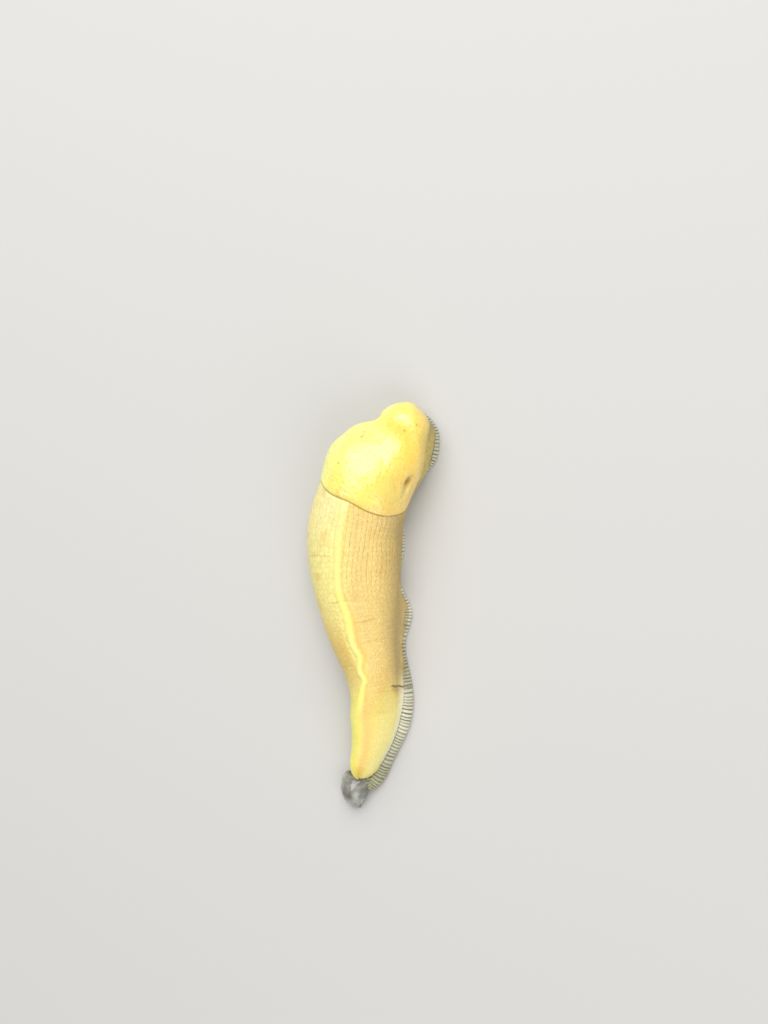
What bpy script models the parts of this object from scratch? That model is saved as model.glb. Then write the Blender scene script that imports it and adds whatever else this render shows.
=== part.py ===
"""A banana slug at rest: body drawn up short, head and tentacles pulled in under the mantle.

Blender units are metres with +Z up. The sole lies flat on Z = 0, +Y runs towards the head and
+X to the animal's right. The origin is on the sole, under the middle of the trunk.

The animal's outer surface is written in three numbers: a place along the body, an angle round
it and a depth under the skin. The named parts are stretches of that surface, parted by thin
cuts. The mantle is a thick shield laid over the front of the trunk and the head.
"""

import bmesh
import bpy
import numpy as np

MM = 0.001
GAP = 0.3  # between neighbouring parts, in millimetres like every length below

# Each curve runs from the tail to the head as (place along the body, value there).
SPINE_X = (
    (-57, -1.2), (-50, 1.4), (-43, 3.9), (-36, 5.5), (-28, 4.9), (-14, 2.1), (0, 0.4),
    (12, -0.4), (22, 0.3), (29, 2.5), (36, 6.4), (43, 11.0), (47, 13.0), (50, 14.0),
    (53, 14.6), (58, 15.0),
)
WIDTH_RIGHT = (
    (-57, 2.6), (-50, 3.6), (-43, 5.0), (-36, 6.1), (-28, 7.0), (-14, 9.5), (0, 12.3),
    (12, 13.5), (22, 13.5), (30, 13.2), (36, 12.0), (41, 11.3), (45, 10.1), (48, 9.4),
    (50.5, 8.9), (53, 7.4), (58, 3.0),
)
WIDTH_LEFT = (
    (-57, 2.8), (-50, 3.8), (-43, 5.2), (-36, 6.2), (-28, 7.0), (-14, 9.2), (0, 11.9),
    (12, 13.1), (22, 13.1), (30, 13.2), (36, 15.1), (39, 14.2), (42.5, 13.1), (46, 10.7),
    (49.5, 8.0), (52, 8.3), (54, 8.7), (58, 10.4),
)
WIDEST_HEIGHT = (
    (-57, 5.0), (-40, 6.0), (-14, 7.5), (10, 9.0), (32, 9.4), (41, 8.0), (49, 6.4), (58, 5.4),
)
BACK_HEIGHT = (
    (-57, 7.8), (-50, 9.4), (-40, 12.6), (-30, 15.2), (-14, 17.0), (0, 19.2), (12, 20.4),
    (24, 21.0), (33, 20.8), (39, 18.8), (43, 16.2), (46, 14.6), (50, 14.2), (58, 12.8),
)
KEEL_LEAN = (
    (-57, -3.0), (-50, -3.2), (-43, -3.4), (-35, -3.3), (-27, 0.0), (-14, -0.3), (0, -0.7),
    (20, -0.8), (34, -0.5), (46, 0.0), (58, 0.0),
)
FOOT_SHIFT = ((-57, 3.0), (-50, 1.8), (-43, 0.6), (-36, 0.1), (-28, 0.0), (58, 0.0))
FOOT_RIGHT = (
    (-57, 2.8), (-50, 4.2), (-44, 5.8), (-36, 8.4), (-29, 9.7), (-21, 9.7), (-14, 10.7),
    (-5, 13.5), (1, 11.2), (12, 12.3), (24, 11.4), (36, 9.3), (41, 10.3), (44.5, 11.1),
    (48, 9.9), (51, 8.2), (56, 5.0),
)
FOOT_LEFT = (
    (-57, 3.0), (-50, 4.2), (-40, 5.8), (-28, 7.8), (-14, 10.0), (-3, 12.0), (8, 12.2),
    (24, 12.0), (36, 11.2), (43, 9.6), (49, 8.6), (56, 9.4),
)
ROOF_POWER = ((-57, 1.15), (-36, 1.2), (-14, 1.1), (10, 1.0), (30, 1.0), (58, 1.0))

HOOD_TIP = 56.0
HOOD_ROUNDING = 7.6
TAIL_TIP = -53.4
TAIL_ROUNDING = 4.6
KEEL_RISE = 0.5
KEEL_ANGLE = 5.0
LEAN_HEIGHT = 12.0  # height over the furrow at which the body leans by KEEL_LEAN
LEAN_POWER = 1.2

BOTTOM_ANGLE = 150.0  # where the flank meets the furrow over the foot
FURROW_HEIGHT = 2.5
# How far the flank draws in on its way down to the furrow. Below 0 it flares out there.
RIGHT_TUCK = (
    (-57, 0.3), (-48, 0.6), (-41, 0.6), (-37.4, 0.4), (-34.4, -0.2), (-31.6, -1.1), (-28, -1.6),
    (-24, -1.4), (-20, -1.1), (-16, -0.9), (-10, -1.4), (-6, -1.6), (-2.5, -0.8), (1, 0.4),
    (5, 0.9), (9, 0.9), (58, 0.9),
)
LEFT_TUCK = ((-57, 0.3), (-44, 0.6), (-30, 0.2), (-16, 0.4), (0, 0.9), (10, 0.9), (58, 0.9))

MANTLE_THICKNESS = 3.0
# Place of the mantle's rear edge at angles round the body, from left to right.
MANTLE_EDGE = (
    (-110, 30.6), (-54, 28.6), (-30, 27.7), (-15, 27.4), (-2, 27.4), (10, 27.3), (21, 26.8),
    (31, 26.5), (43, 26.4), (57, 26.8), (70, 28.0), (86, 29.7), (98, 30.8), (112, 31.6),
)
MANTLE_EDGE_PLACE = 26.5  # where the rear edge reaches furthest back
# Angle of the mantle's side margins at places along the body.
RIGHT_MARGIN = (
    (26, 108), (36, 104), (40, 94), (43, 82), (45.5, 74), (48, 68), (50.5, 75), (52.2, 90),
    (54, 98), (58, 98),
)
LEFT_MARGIN = ((26, 108), (36, 104), (44, 98), (52, 98), (58, 98))
MARGIN_GAP_ANGLE = 4.6
HOOD_CUT = 45.5
# A shallow valley parts the hood from the dome: its place and its depth at angles round the body.
VALLEY_PLACE = (
    (-100, 51.0), (-58, 50.0), (-25, 49.1), (-5, 48.9), (11, 48.6), (22, 47.9), (31, 46.9),
    (38, 45.9), (52, 44.4), (70, 43.4),
)
VALLEY_DEPTH = ((-100, 0.0), (-60, 0.2), (-30, 0.4), (0, 0.4), (22, 0.35), (38, 0.2), (56, 0.0))
VALLEY_WIDTH = 2.3

# The head and the sides of the neck draw in under the mantle by this much.
HEAD_DEPTH = ((26, 0.0), (49, 0.0), (51, 0.3), (52.5, 1.2), (53.5, 2.6), (58, 4.0))
UNDER_MANTLE_CUT = 39.0
HEAD_CUT = 48.0
HEAD_END = 51.4
HEAD_FRONT = 52.0
HEAD_MIDDLE_HEIGHT = 4.8

FOOT_TOP = FURROW_HEIGHT - GAP
FOOT_FRONT = 54.2
FOOT_REAR = -55.8
FOOT_FRONT_ROUNDING = 5.0
FOOT_REAR_ROUNDING = 6.5
# The foot's edge in cross-section: (distance in from the widest point, height).
FOOT_EDGE = ((2.0, FOOT_TOP), (0.8, 1.9), (0.15, 1.3), (0.0, 0.8), (0.2, 0.3), (0.6, 0.0))
FURROW_INSET = 0.5  # how far the furrow lies in from the edge of the foot

ROW_SPACING = 2.6
ROOF_STEPS = 22
FLANK_STEPS = 4
FLANK_POINTS = 6
MANTLE_STEPS = 20
HOOD_STEPS = 12
HEAD_STEPS = 7
TAIL_STEPS = 10
FOOT_FRONT_STEPS = 8
FOOT_REAR_STEPS = 14

TRUNK_CUTS = (("trunk_front", 12.0), ("trunk_middle", -4.0), ("trunk_rear", -20.0),
              ("tail_base", -36.0))
FOOT_CUTS = (("foot_head", 42.0), ("foot_under_mantle", 24.0), ("foot_front", 6.0),
             ("foot_middle", -12.0), ("foot_rear", -32.0), ("foot_tail", FOOT_REAR))

# Drawn-in tentacles: name, place, sideways place, height and radius.
TENTACLES = (
    ("tentacle_upper", 52.8, 2.1, 4.6, 0.8),
    ("tentacle_lower", 52.6, 1.1, 3.1, 0.5),
)

PORE_PLACE = 38.8
PORE_ANGLE = 64.0
PORE_RADII = (0.7, 1.3, 1.3)  # across, along and into the mantle

PLUG_MIDDLE = (-3.2, -58.2, 2.7)
PLUG_RADII = (4.1, 4.5, 3.3)

# Each finish is a colour and a roughness.
MANTLE_FINISH = ((0.86, 0.74, 0.16), 0.3)
TRUNK_FINISH = ((0.74, 0.60, 0.22), 0.5)
TAIL_FINISH = ((0.86, 0.74, 0.16), 0.5)
FOOT_FINISH = ((0.72, 0.70, 0.55), 0.5)
HEAD_FINISH = ((0.55, 0.47, 0.28), 0.45)
PLUG_FINISH = ((0.35, 0.34, 0.31), 0.2)


def smooth_curve(stations):
    """Return a reader of the natural cubic spline through (place, value) stations."""
    places, values = np.array(stations, float).T
    spans = np.diff(places)
    count = len(places)
    system = np.eye(count)
    change = np.zeros(count)
    for i in range(1, count - 1):
        system[i, i - 1] = spans[i - 1]
        system[i, i] = 2 * (spans[i - 1] + spans[i])
        system[i, i + 1] = spans[i]
        slope_after = (values[i + 1] - values[i]) / spans[i]
        slope_before = (values[i] - values[i - 1]) / spans[i - 1]
        change[i] = 6 * (slope_after - slope_before)
    bends = np.linalg.solve(system, change)

    def read(place):
        place = np.clip(place, places[0], places[-1])
        i = np.clip(np.searchsorted(places, place) - 1, 0, count - 2)
        span = spans[i]
        past = place - places[i]
        left = places[i + 1] - place
        bend = (bends[i] * left ** 3 + bends[i + 1] * past ** 3) / (6 * span)
        from_start = (values[i] / span - bends[i] * span / 6) * left
        from_end = (values[i + 1] / span - bends[i + 1] * span / 6) * past
        return bend + from_start + from_end

    return read


spine_x = smooth_curve(SPINE_X)
width_right = smooth_curve(WIDTH_RIGHT)
width_left = smooth_curve(WIDTH_LEFT)
widest_height = smooth_curve(WIDEST_HEIGHT)
back_height = smooth_curve(BACK_HEIGHT)
keel_lean = smooth_curve(KEEL_LEAN)
foot_shift = smooth_curve(FOOT_SHIFT)
foot_right = smooth_curve(FOOT_RIGHT)
foot_left = smooth_curve(FOOT_LEFT)
roof_power = smooth_curve(ROOF_POWER)
right_margin = smooth_curve(RIGHT_MARGIN)
left_margin = smooth_curve(LEFT_MARGIN)
head_depth = smooth_curve(HEAD_DEPTH)
right_tuck = smooth_curve(RIGHT_TUCK)
left_tuck = smooth_curve(LEFT_TUCK)
mantle_edge = smooth_curve(MANTLE_EDGE)
valley_place = smooth_curve(VALLEY_PLACE)
valley_depth = smooth_curve(VALLEY_DEPTH)


def end_rounding(distance, rounding):
    """A quarter round: 0 at an end of the body, 1 from `rounding` inwards."""
    left = 1 - np.clip(distance / rounding, 0, 1)
    return np.sqrt(1 - left ** 2)


def on_spine(place, sideways, height):
    """Carry a point of the cross-section at `place` to the row frame."""
    step = 0.5
    slope = (spine_x(place + step) - spine_x(place - step)) / (2 * step)
    length = np.sqrt(1 + slope ** 2)
    x = spine_x(place) + sideways / length
    y = place - sideways * slope / length
    return np.stack(np.broadcast_arrays(x, y, height), axis=-1)


def lean_at(place, height):
    """How far the body at this height leans sideways over the foot."""
    rise = np.clip((height - FURROW_HEIGHT) / LEAN_HEIGHT, 0, None)
    return keel_lean(place) * rise ** LEAN_POWER


def skin(place, angle, depth=0.0):
    """Point of the body's surface at a depth. Angle 0 is the keel, + is the animal's right."""
    front = end_rounding(HOOD_TIP - depth - place, HOOD_ROUNDING - depth)
    end = front * end_rounding(place - TAIL_TIP, TAIL_ROUNDING)
    widest = widest_height(place)
    on_left = np.less(angle, 0)
    width = (np.where(on_left, width_left(place), width_right(place)) - depth) * end
    foot = np.where(on_left, foot_left(place), foot_right(place)) - FURROW_INSET
    tuck = np.where(on_left, left_tuck(place), right_tuck(place))
    tuck = np.maximum(width - foot * end, tuck * end)
    roof = (back_height(place) - widest - depth) * end
    skirt = (widest - FURROW_HEIGHT) * end
    power = roof_power(place)
    turn = np.radians(angle)
    low = np.clip((np.abs(angle) - 90) / (BOTTOM_ANGLE - 90), 0, 1) * np.pi / 2
    high_x = width * np.abs(np.sin(turn)) ** power
    high_z = widest + roof * np.abs(np.cos(turn)) ** power
    high_z = high_z + KEEL_RISE * end * np.exp(-(angle / KEEL_ANGLE) ** 2)
    low_x = width - tuck * (1 - np.cos(low))
    low_z = widest - skirt * np.sin(low)
    above = np.abs(angle) <= 90
    height = np.where(above, high_z, low_z)
    sideways = np.sign(angle) * np.where(above, high_x, low_x)
    return on_spine(place, sideways + lean_at(place, height), height)


def section_middle(place):
    """A point inside the body, at the height of its widest line."""
    height = widest_height(place)
    return on_spine(place, lean_at(place, height), height)


def valley(place, angle):
    """Depth of the valley between the mantle's dome and its hood."""
    away = (place - valley_place(angle)) / VALLEY_WIDTH
    return valley_depth(angle) * np.exp(-away ** 2)


def spread(front, back):
    """Places from `front` to `back`, about ROW_SPACING apart, one row each."""
    steps = max(2, round(abs(np.mean(front) - np.mean(back)) / ROW_SPACING))
    share = np.linspace(0, 1, steps + 1)[:, None]
    return front + (back - front) * share


def rounded_spread(inside, tip, steps):
    """Places that crowd together towards a rounded tip, without the tip itself."""
    share = np.sin(np.linspace(0, np.pi / 2, steps + 1))[:-1, None]
    return inside + (tip - inside) * share


def add_material(name, finish):
    """A plain material for one part."""
    colour, roughness = finish
    surface = bpy.data.materials.new(name)
    surface.use_nodes = True
    shader = surface.node_tree.nodes["Principled BSDF"]
    shader.inputs["Base Color"].default_value = (*colour, 1)
    shader.inputs["Roughness"].default_value = roughness
    shader.inputs["Metallic"].default_value = 0
    return surface


def add_solid(name, points, faces, finish):
    """Add one closed mesh, given in millimetres, with its faces turned outwards."""
    shape = bmesh.new()
    corners = [shape.verts.new(point) for point in np.asarray(points) * MM]
    for face in faces:
        shape.faces.new([corners[index] for index in face])
    bmesh.ops.recalc_face_normals(shape, faces=shape.faces)
    mesh = bpy.data.meshes.new(name)
    shape.to_mesh(mesh)
    shape.free()
    mesh.shade_smooth()
    mesh.set_sharp_from_angle(angle=np.radians(40))
    mesh.materials.append(add_material(name, finish))
    solid = bpy.data.objects.new(name, mesh)
    bpy.context.scene.collection.objects.link(solid)
    return solid


def tube_faces(rows):
    """Faces that join neighbouring closed rings."""
    count, width = rows.shape[:2]
    ring = np.arange(count * width).reshape(count, width)
    beside = np.roll(ring, -1, axis=1)
    quads = np.stack((ring[:-1], beside[:-1], beside[1:], ring[1:]), axis=-1)
    return ring, quads.reshape(-1, 4).tolist()


def fan(ring, tip):
    """Faces that close a ring with one point."""
    return [(a, b, tip) for a, b in zip(ring, np.roll(ring, -1))]


def wall(ring):
    """Faces that close the end of a shell, whose ring runs over its top and back under it."""
    half = len(ring) // 2
    return [(ring[i], ring[i + 1], ring[-2 - i], ring[-1 - i]) for i in range(half - 1)]


def add_tube(name, rows, front, back, finish):
    """A solid length of body, closed by fans to a point at the front and one at the back."""
    ring, faces = tube_faces(rows)
    points = [*rows.reshape(-1, 3), front, back]
    faces += fan(ring[0], len(points) - 2)
    faces += fan(ring[-1], len(points) - 1)
    return add_solid(name, points, faces, finish)


def body_angles():
    """Angles round a trunk section, from the left furrow over the keel to the right furrow."""
    left = np.linspace(-BOTTOM_ANGLE, -90, FLANK_STEPS + 1)
    roof = np.linspace(-90, 90, ROOF_STEPS + 1)
    return np.concatenate((left[:-1], roof, -left[-2::-1]))


def add_trunk():
    """The lengths of body behind the mantle, each cut square to the spine, then the tail tip."""
    angles = body_angles()
    front = mantle_edge(angles) - GAP
    middle = section_middle(MANTLE_EDGE_PLACE - GAP)
    for name, cut in TRUNK_CUTS:
        rows = skin(spread(front, cut + GAP / 2), angles)
        add_tube(name, rows, middle, section_middle(cut + GAP / 2), TRUNK_FINISH)
        front = np.full(len(angles), cut - GAP / 2)
        middle = section_middle(cut - GAP / 2)
    rows = skin(rounded_spread(front, TAIL_TIP, TAIL_STEPS), angles)
    add_tube("tail_tip", rows, middle, section_middle(TAIL_TIP), TAIL_FINISH)


def mantle_angles(place):
    """Angles over the mantle from its left margin to its right margin."""
    share = np.linspace(0, 1, MANTLE_STEPS + 1)
    return share * right_margin(place) - (1 - share) * left_margin(place)


def shell_rows(outer_places, inner_places):
    """Rings round the mantle's shell: over the top, then back along its underside."""
    angles = mantle_angles(outer_places)
    outer = skin(outer_places, angles, valley(outer_places, angles))
    inner = skin(inner_places, mantle_angles(inner_places), MANTLE_THICKNESS)
    return np.concatenate((outer, inner[:, ::-1]), axis=1)


def add_mantle_shield():
    """The mantle's main dome, from behind the hood to its rear edge, with the breathing pore."""
    back = mantle_edge(mantle_angles(MANTLE_EDGE_PLACE))
    places = spread(HOOD_CUT - GAP / 2, back)
    rows = shell_rows(places, places)
    ring, faces = tube_faces(rows)
    faces += wall(ring[0]) + wall(ring[-1])
    shield = add_solid("mantle_shield", rows.reshape(-1, 3), faces, MANTLE_FINISH)
    cut_breathing_pore(shield)


def cut_breathing_pore(shield):
    """Sink the mouth of the breathing pore into the right side of the shield."""
    middle = skin(PORE_PLACE, PORE_ANGLE)
    along = skin(PORE_PLACE + 1, PORE_ANGLE) - middle
    around = skin(PORE_PLACE, PORE_ANGLE + 2) - middle
    outward = np.cross(along, around)
    axes = [axis / np.linalg.norm(axis) for axis in (np.cross(along, outward), along, outward)]
    shape = bmesh.new()
    bmesh.ops.create_icosphere(shape, subdivisions=2, radius=1)
    for vertex in shape.verts:
        stretched = [axis * radius * size
                     for axis, radius, size in zip(axes, PORE_RADII, vertex.co)]
        vertex.co = (middle + sum(stretched)) * MM
    mesh = bpy.data.meshes.new("pore_cutter")
    shape.to_mesh(mesh)
    shape.free()
    cutter = bpy.data.objects.new("pore_cutter", mesh)
    cutter.hide_render = True
    cutter.display_type = "WIRE"
    bpy.context.scene.collection.objects.link(cutter)
    cut = shield.modifiers.new("breathing_pore", "BOOLEAN")
    cut.operation = "DIFFERENCE"
    cut.object = cutter


def add_mantle_hood():
    """The mantle's front lobe, which overhangs the head and closes in a blunt round front."""
    inside = HOOD_CUT + GAP / 2
    outer_places = rounded_spread(inside, HOOD_TIP, HOOD_STEPS)
    inner_tip = HOOD_TIP - MANTLE_THICKNESS
    inner_places = rounded_spread(inside, inner_tip, HOOD_STEPS)
    rows = shell_rows(outer_places, inner_places)
    ring, faces = tube_faces(rows)
    points = [*rows.reshape(-1, 3), section_middle(HOOD_TIP), section_middle(inner_tip)]
    outer_point = len(points) - 2
    inner_point = len(points) - 1
    front = ring[-1]
    half = len(front) // 2
    faces += [(front[i], front[i + 1], outer_point) for i in range(half - 1)]
    faces += [(front[i], front[i + 1], inner_point) for i in range(half, 2 * half - 1)]
    faces.append((front[half - 1], front[half], inner_point, outer_point))
    faces.append((front[-1], front[0], outer_point, inner_point))
    faces += wall(ring[0])
    add_solid("mantle_hood", points, faces, MANTLE_FINISH)


def core_rows(places):
    """Rings of the body under the mantle: flanks at the surface, back sunk to carry it."""
    count = 2 * FLANK_POINTS + MANTLE_STEPS + 1
    places = np.broadcast_to(places, (len(places), count))
    left, over, right = np.split(places, (FLANK_POINTS, count - FLANK_POINTS), axis=1)
    down = np.linspace(0, 1, FLANK_POINTS)
    across = np.linspace(0, 1, MANTLE_STEPS + 1)
    left_edge = left_margin(left) + MARGIN_GAP_ANGLE
    left_flank = skin(left, down * (BOTTOM_ANGLE - left_edge) - BOTTOM_ANGLE, head_depth(left))
    over_left = (1 - across) * (left_margin(over) + MARGIN_GAP_ANGLE)
    over_right = across * (right_margin(over) + MARGIN_GAP_ANGLE)
    back = skin(over, over_right - over_left, MANTLE_THICKNESS + GAP)
    right_edge = right_margin(right) + MARGIN_GAP_ANGLE
    right_flank = skin(right, right_edge + down * (BOTTOM_ANGLE - right_edge), head_depth(right))
    return np.concatenate((left_flank, back, right_flank), axis=1)


def core_edge():
    """Place of the mantle's rear edge at each angle of the body's ring under it."""
    margin = left_margin(MANTLE_EDGE_PLACE) + MARGIN_GAP_ANGLE
    flank = np.linspace(margin, BOTTOM_ANGLE, FLANK_POINTS)
    over = np.linspace(-margin, margin, MANTLE_STEPS + 1)
    return mantle_edge(np.concatenate((-flank[::-1], over, flank)))


def add_under_mantle():
    """The trunk and neck that the mantle covers, and the head drawn in under its hood."""
    front = UNDER_MANTLE_CUT - GAP / 2
    rows = core_rows(spread(front, core_edge()))
    add_tube("trunk_under_mantle", rows, section_middle(front),
             section_middle(MANTLE_EDGE_PLACE), TRUNK_FINISH)
    front = HEAD_CUT - GAP / 2
    back = UNDER_MANTLE_CUT + GAP / 2
    rows = core_rows(spread(np.array([front]), np.array([back])))
    add_tube("neck", rows, section_middle(front), section_middle(back), TRUNK_FINISH)
    back = HEAD_CUT + GAP / 2
    rows = core_rows(rounded_spread(back, HEAD_END, HEAD_STEPS))
    tip = on_spine(HEAD_FRONT, 0.0, HEAD_MIDDLE_HEIGHT)
    add_tube("head", rows, section_middle(back), tip, HEAD_FINISH)


def foot_rows(places):
    """Rings of the foot: flat sole, fringe standing out at each side, flat top."""
    front = end_rounding(FOOT_FRONT - places, FOOT_FRONT_ROUNDING)
    end = front * end_rounding(places - FOOT_REAR, FOOT_REAR_ROUNDING)
    inset, height = np.array(FOOT_EDGE).T
    right = (foot_right(places) - inset) * end
    left = (inset - foot_left(places)) * end
    sideways = foot_shift(places) + np.concatenate((right, left[:, ::-1]), axis=1)
    return on_spine(places, sideways, np.concatenate((height, height[::-1])))


def foot_middle(place):
    """A point inside the foot, on its midline."""
    return on_spine(place, foot_shift(place), FOOT_TOP / 2)


def add_foot():
    """The foot in lengths, from its rounded front under the head to its rounded rear tip."""
    front = FOOT_FRONT
    for name, cut in FOOT_CUTS:
        back = cut + GAP / 2
        if front == FOOT_FRONT:
            places = rounded_spread(back, front, FOOT_FRONT_STEPS)[::-1]
        elif cut == FOOT_REAR:
            back = FOOT_REAR
            places = rounded_spread(front, back, FOOT_REAR_STEPS)
        else:
            places = spread(np.array([front]), np.array([back]))
        add_tube(name, foot_rows(places), foot_middle(front), foot_middle(back), FOOT_FINISH)
        front = cut - GAP / 2


def add_lump(name, middle, radii, finish):
    """A rounded lump that never dips below the floor."""
    shape = bmesh.new()
    bmesh.ops.create_icosphere(shape, subdivisions=3, radius=1)
    points = [np.array(middle) + np.array(vertex.co) * radii for vertex in shape.verts]
    faces = [[corner.index for corner in face.verts] for face in shape.faces]
    shape.free()
    points = [np.array((x, y, max(z, 0.0))) for x, y, z in points]
    return add_solid(name, points, faces, finish)


def add_tentacles():
    """Two pairs of tentacles, pulled in to short round knobs on the front of the head."""
    for name, place, sideways, height, radius in TENTACLES:
        for side, turn in (("left", -1), ("right", 1)):
            middle = on_spine(place, turn * sideways, height)
            add_lump(f"{name}_{side}", middle, np.full(3, radius), HEAD_FINISH)


def build():
    """Clear the scene and build the slug."""
    for old in list(bpy.data.objects):
        bpy.data.objects.remove(old)
    add_mantle_hood()
    add_mantle_shield()
    add_under_mantle()
    add_trunk()
    add_foot()
    add_tentacles()
    add_lump("mucus_plug", PLUG_MIDDLE, np.array(PLUG_RADII), PLUG_FINISH)


build()
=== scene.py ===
"""A banana slug at rest, drawn up short under its mantle: a life-size still model.

Lengths are millimetres until a mesh is made. +Y runs towards the head, +X to the animal's right,
and the sole lies on Z = 0. One skin covers all the flesh. It is the surface of a field that is
negative inside the animal, worked out on a fine grid, and then carved with the skin's relief:
keel, grooves, tubercles, wrinkles, breathing pore and the fringe of the foot.
"""

import math
from types import SimpleNamespace

import bmesh
import bpy
import numpy as np
import openvdb
from mathutils import Matrix, Vector


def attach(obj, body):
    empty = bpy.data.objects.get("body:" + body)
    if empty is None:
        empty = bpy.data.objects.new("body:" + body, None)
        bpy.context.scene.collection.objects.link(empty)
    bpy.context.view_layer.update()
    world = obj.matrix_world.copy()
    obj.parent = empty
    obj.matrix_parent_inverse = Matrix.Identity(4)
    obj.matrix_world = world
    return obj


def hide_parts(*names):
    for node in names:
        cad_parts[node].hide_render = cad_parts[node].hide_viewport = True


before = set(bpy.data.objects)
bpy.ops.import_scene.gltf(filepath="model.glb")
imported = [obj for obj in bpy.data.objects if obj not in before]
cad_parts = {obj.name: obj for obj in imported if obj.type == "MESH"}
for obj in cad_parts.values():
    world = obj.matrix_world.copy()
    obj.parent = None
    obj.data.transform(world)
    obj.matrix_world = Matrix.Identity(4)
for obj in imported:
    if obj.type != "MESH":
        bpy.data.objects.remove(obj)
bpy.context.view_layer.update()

MM = 0.001
VOXEL = 0.17

# Each curve runs from the tail to the head as (place along the body, value there).
SPINE_X = (
    (-57, -1.2), (-50, 1.4), (-43, 3.9), (-36, 5.5), (-28, 4.9), (-14, 2.1), (0, 0.4),
    (12, -0.4), (22, 0.3), (29, 2.5), (36, 6.4), (43, 11.0), (47, 13.0), (50, 14.0),
    (53, 14.6), (58, 15.0),
)
# The cross-section, in millimetres and degrees.
SECTION = {
    # Half widths to the right and left, and the height where they are reached.
    "width_right": (
        (-57, 2.6), (-50, 3.6), (-43, 5.0), (-36, 6.1), (-28, 7.0), (-14, 9.5), (0, 12.3),
        (12, 13.5), (22, 13.5), (30, 13.2), (36, 12.0), (41, 11.3), (45, 10.1), (48, 9.4),
        (50.5, 8.9), (53, 7.4), (58, 3.0),
    ),
    "width_left": (
        (-57, 2.8), (-50, 3.8), (-43, 5.2), (-36, 6.2), (-28, 7.0), (-14, 9.2), (0, 11.9),
        (12, 13.1), (22, 13.1), (30, 13.2), (36, 15.1), (39, 14.2), (42.5, 13.1), (46, 10.7),
        (49.5, 8.0), (52, 8.3), (54, 8.7), (58, 10.4),
    ),
    "widest": (
        (-57, 5.0), (-40, 6.0), (-14, 7.5), (10, 9.0), (32, 9.4), (41, 8.0), (49, 6.4), (58, 5.4),
    ),
    # Height of the back, and how far its middle leans to the right.
    "back": (
        (-57, 7.8), (-50, 9.4), (-40, 12.6), (-30, 15.2), (-14, 17.0), (0, 19.2), (12, 20.4),
        (24, 21.0), (33, 20.8), (39, 18.8), (43, 16.2), (46, 14.6), (50, 14.2), (58, 12.8),
    ),
    "lean": (
        (-57, -3.0), (-50, -3.2), (-43, -3.4), (-35, -3.3), (-27, 0.0), (-14, -0.3), (0, -0.7),
        (20, -0.8), (34, -0.5), (46, 0.0), (58, 0.0),
    ),
    # How far the foot's middle lies to the right, and its half widths.
    "foot_shift": ((-57, 3.0), (-50, 1.8), (-43, 0.6), (-36, 0.1), (-28, 0.0), (58, 0.0)),
    "foot_right": (
        (-57, 2.8), (-50, 4.2), (-44, 5.8), (-36, 8.4), (-29, 9.7), (-21, 9.7), (-14, 10.7),
        (-5, 13.5), (1, 11.2), (12, 12.3), (24, 11.4), (36, 9.3), (41, 10.3), (44.5, 11.1),
        (48, 9.9), (51, 8.2), (56, 5.0),
    ),
    "foot_left": (
        (-57, 3.0), (-50, 4.2), (-40, 5.8), (-28, 7.8), (-14, 10.0), (-3, 12.0), (8, 12.2),
        (24, 12.0), (36, 11.2), (43, 9.6), (49, 8.6), (56, 9.4),
    ),
    # Roundness of the back: 1 is an ellipse, more is sharper.
    "roof_power": ((-57, 1.15), (-36, 1.2), (-14, 1.1), (10, 1.0), (30, 1.0), (58, 1.0)),
    # How far the flank draws in on its way down to the furrow. Below 0 it flares out.
    "right_tuck": (
        (-57, 0.3), (-48, 0.6), (-41, 0.6), (-37.4, 0.4), (-34.4, -0.2), (-31.6, -1.1), (-28, -1.6),
        (-24, -1.4), (-20, -1.1), (-16, -0.9), (-10, -1.4), (-6, -1.6), (-2.5, -0.8), (1, 0.4),
        (5, 0.9), (9, 0.9), (58, 0.9),
    ),
    "left_tuck": ((-57, 0.3), (-44, 0.6), (-30, 0.2), (-16, 0.4), (0, 0.9), (10, 0.9), (58, 0.9)),
    # Angle of the mantle's side margins round the body.
    "right_margin": (
        (26, 108), (36, 104), (40, 94), (43, 82), (45.5, 74), (48, 68), (50.5, 75), (52.2, 90),
        (54, 98), (58, 98),
    ),
    "left_margin": ((26, 108), (36, 104), (44, 98), (52, 98), (58, 98)),
    # How far the head lies back under the hood.
    "head_depth": ((26, 0.0), (49, 0.0), (51, 0.3), (52.5, 1.2), (53.5, 2.6), (58, 4.0)),
    # Thickness of the mantle's sheet, and the rounding of its edge.
    "thickness": ((26, 1.5), (34, 1.5), (44, 2.4), (50, 3.0), (58, 3.0)),
    "lip": ((26, 0.5), (34, 0.55), (44, 0.9), (50, 1.3), (58, 1.4)),
}
# How far the keel's crest strays to the right of the middle of the back.
KEEL_WANDER = (
    (-57, -1.6), (-52.7, -1.5), (-47.4, -1.1), (-39.5, -0.8), (-32.2, -0.9), (-27.7, -1.4),
    (-25.9, -1.0), (-24.6, 0.0), (-22.5, -0.7), (-20.2, -0.8), (-18.4, 0.6), (-15.4, 0.5),
    (-10.7, 0.3), (-4.3, 0.2), (-0.5, -0.9), (3.8, -1.1), (10.8, -0.2), (16, 0.2), (19.8, 0.6),
    (23, 0.8), (27, 0.3), (58, 0.3),
)
KEEL_WIDTH = (
    (-57, 1.4), (-48, 1.9), (-33, 2.0), (-27, 1.4), (-20, 1.15), (-8, 1.15), (0, 1.0), (27, 0.9),
)
# Place of the mantle's rear edge at angles round the body, from left to right.
MANTLE_EDGE = (
    (-110, 30.6), (-54, 28.6), (-30, 27.7), (-15, 27.4), (-2, 27.4), (10, 27.3), (21, 26.8),
    (31, 26.5), (43, 26.4), (57, 26.8), (70, 28.0), (86, 29.7), (98, 30.8), (112, 31.6),
)
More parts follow.
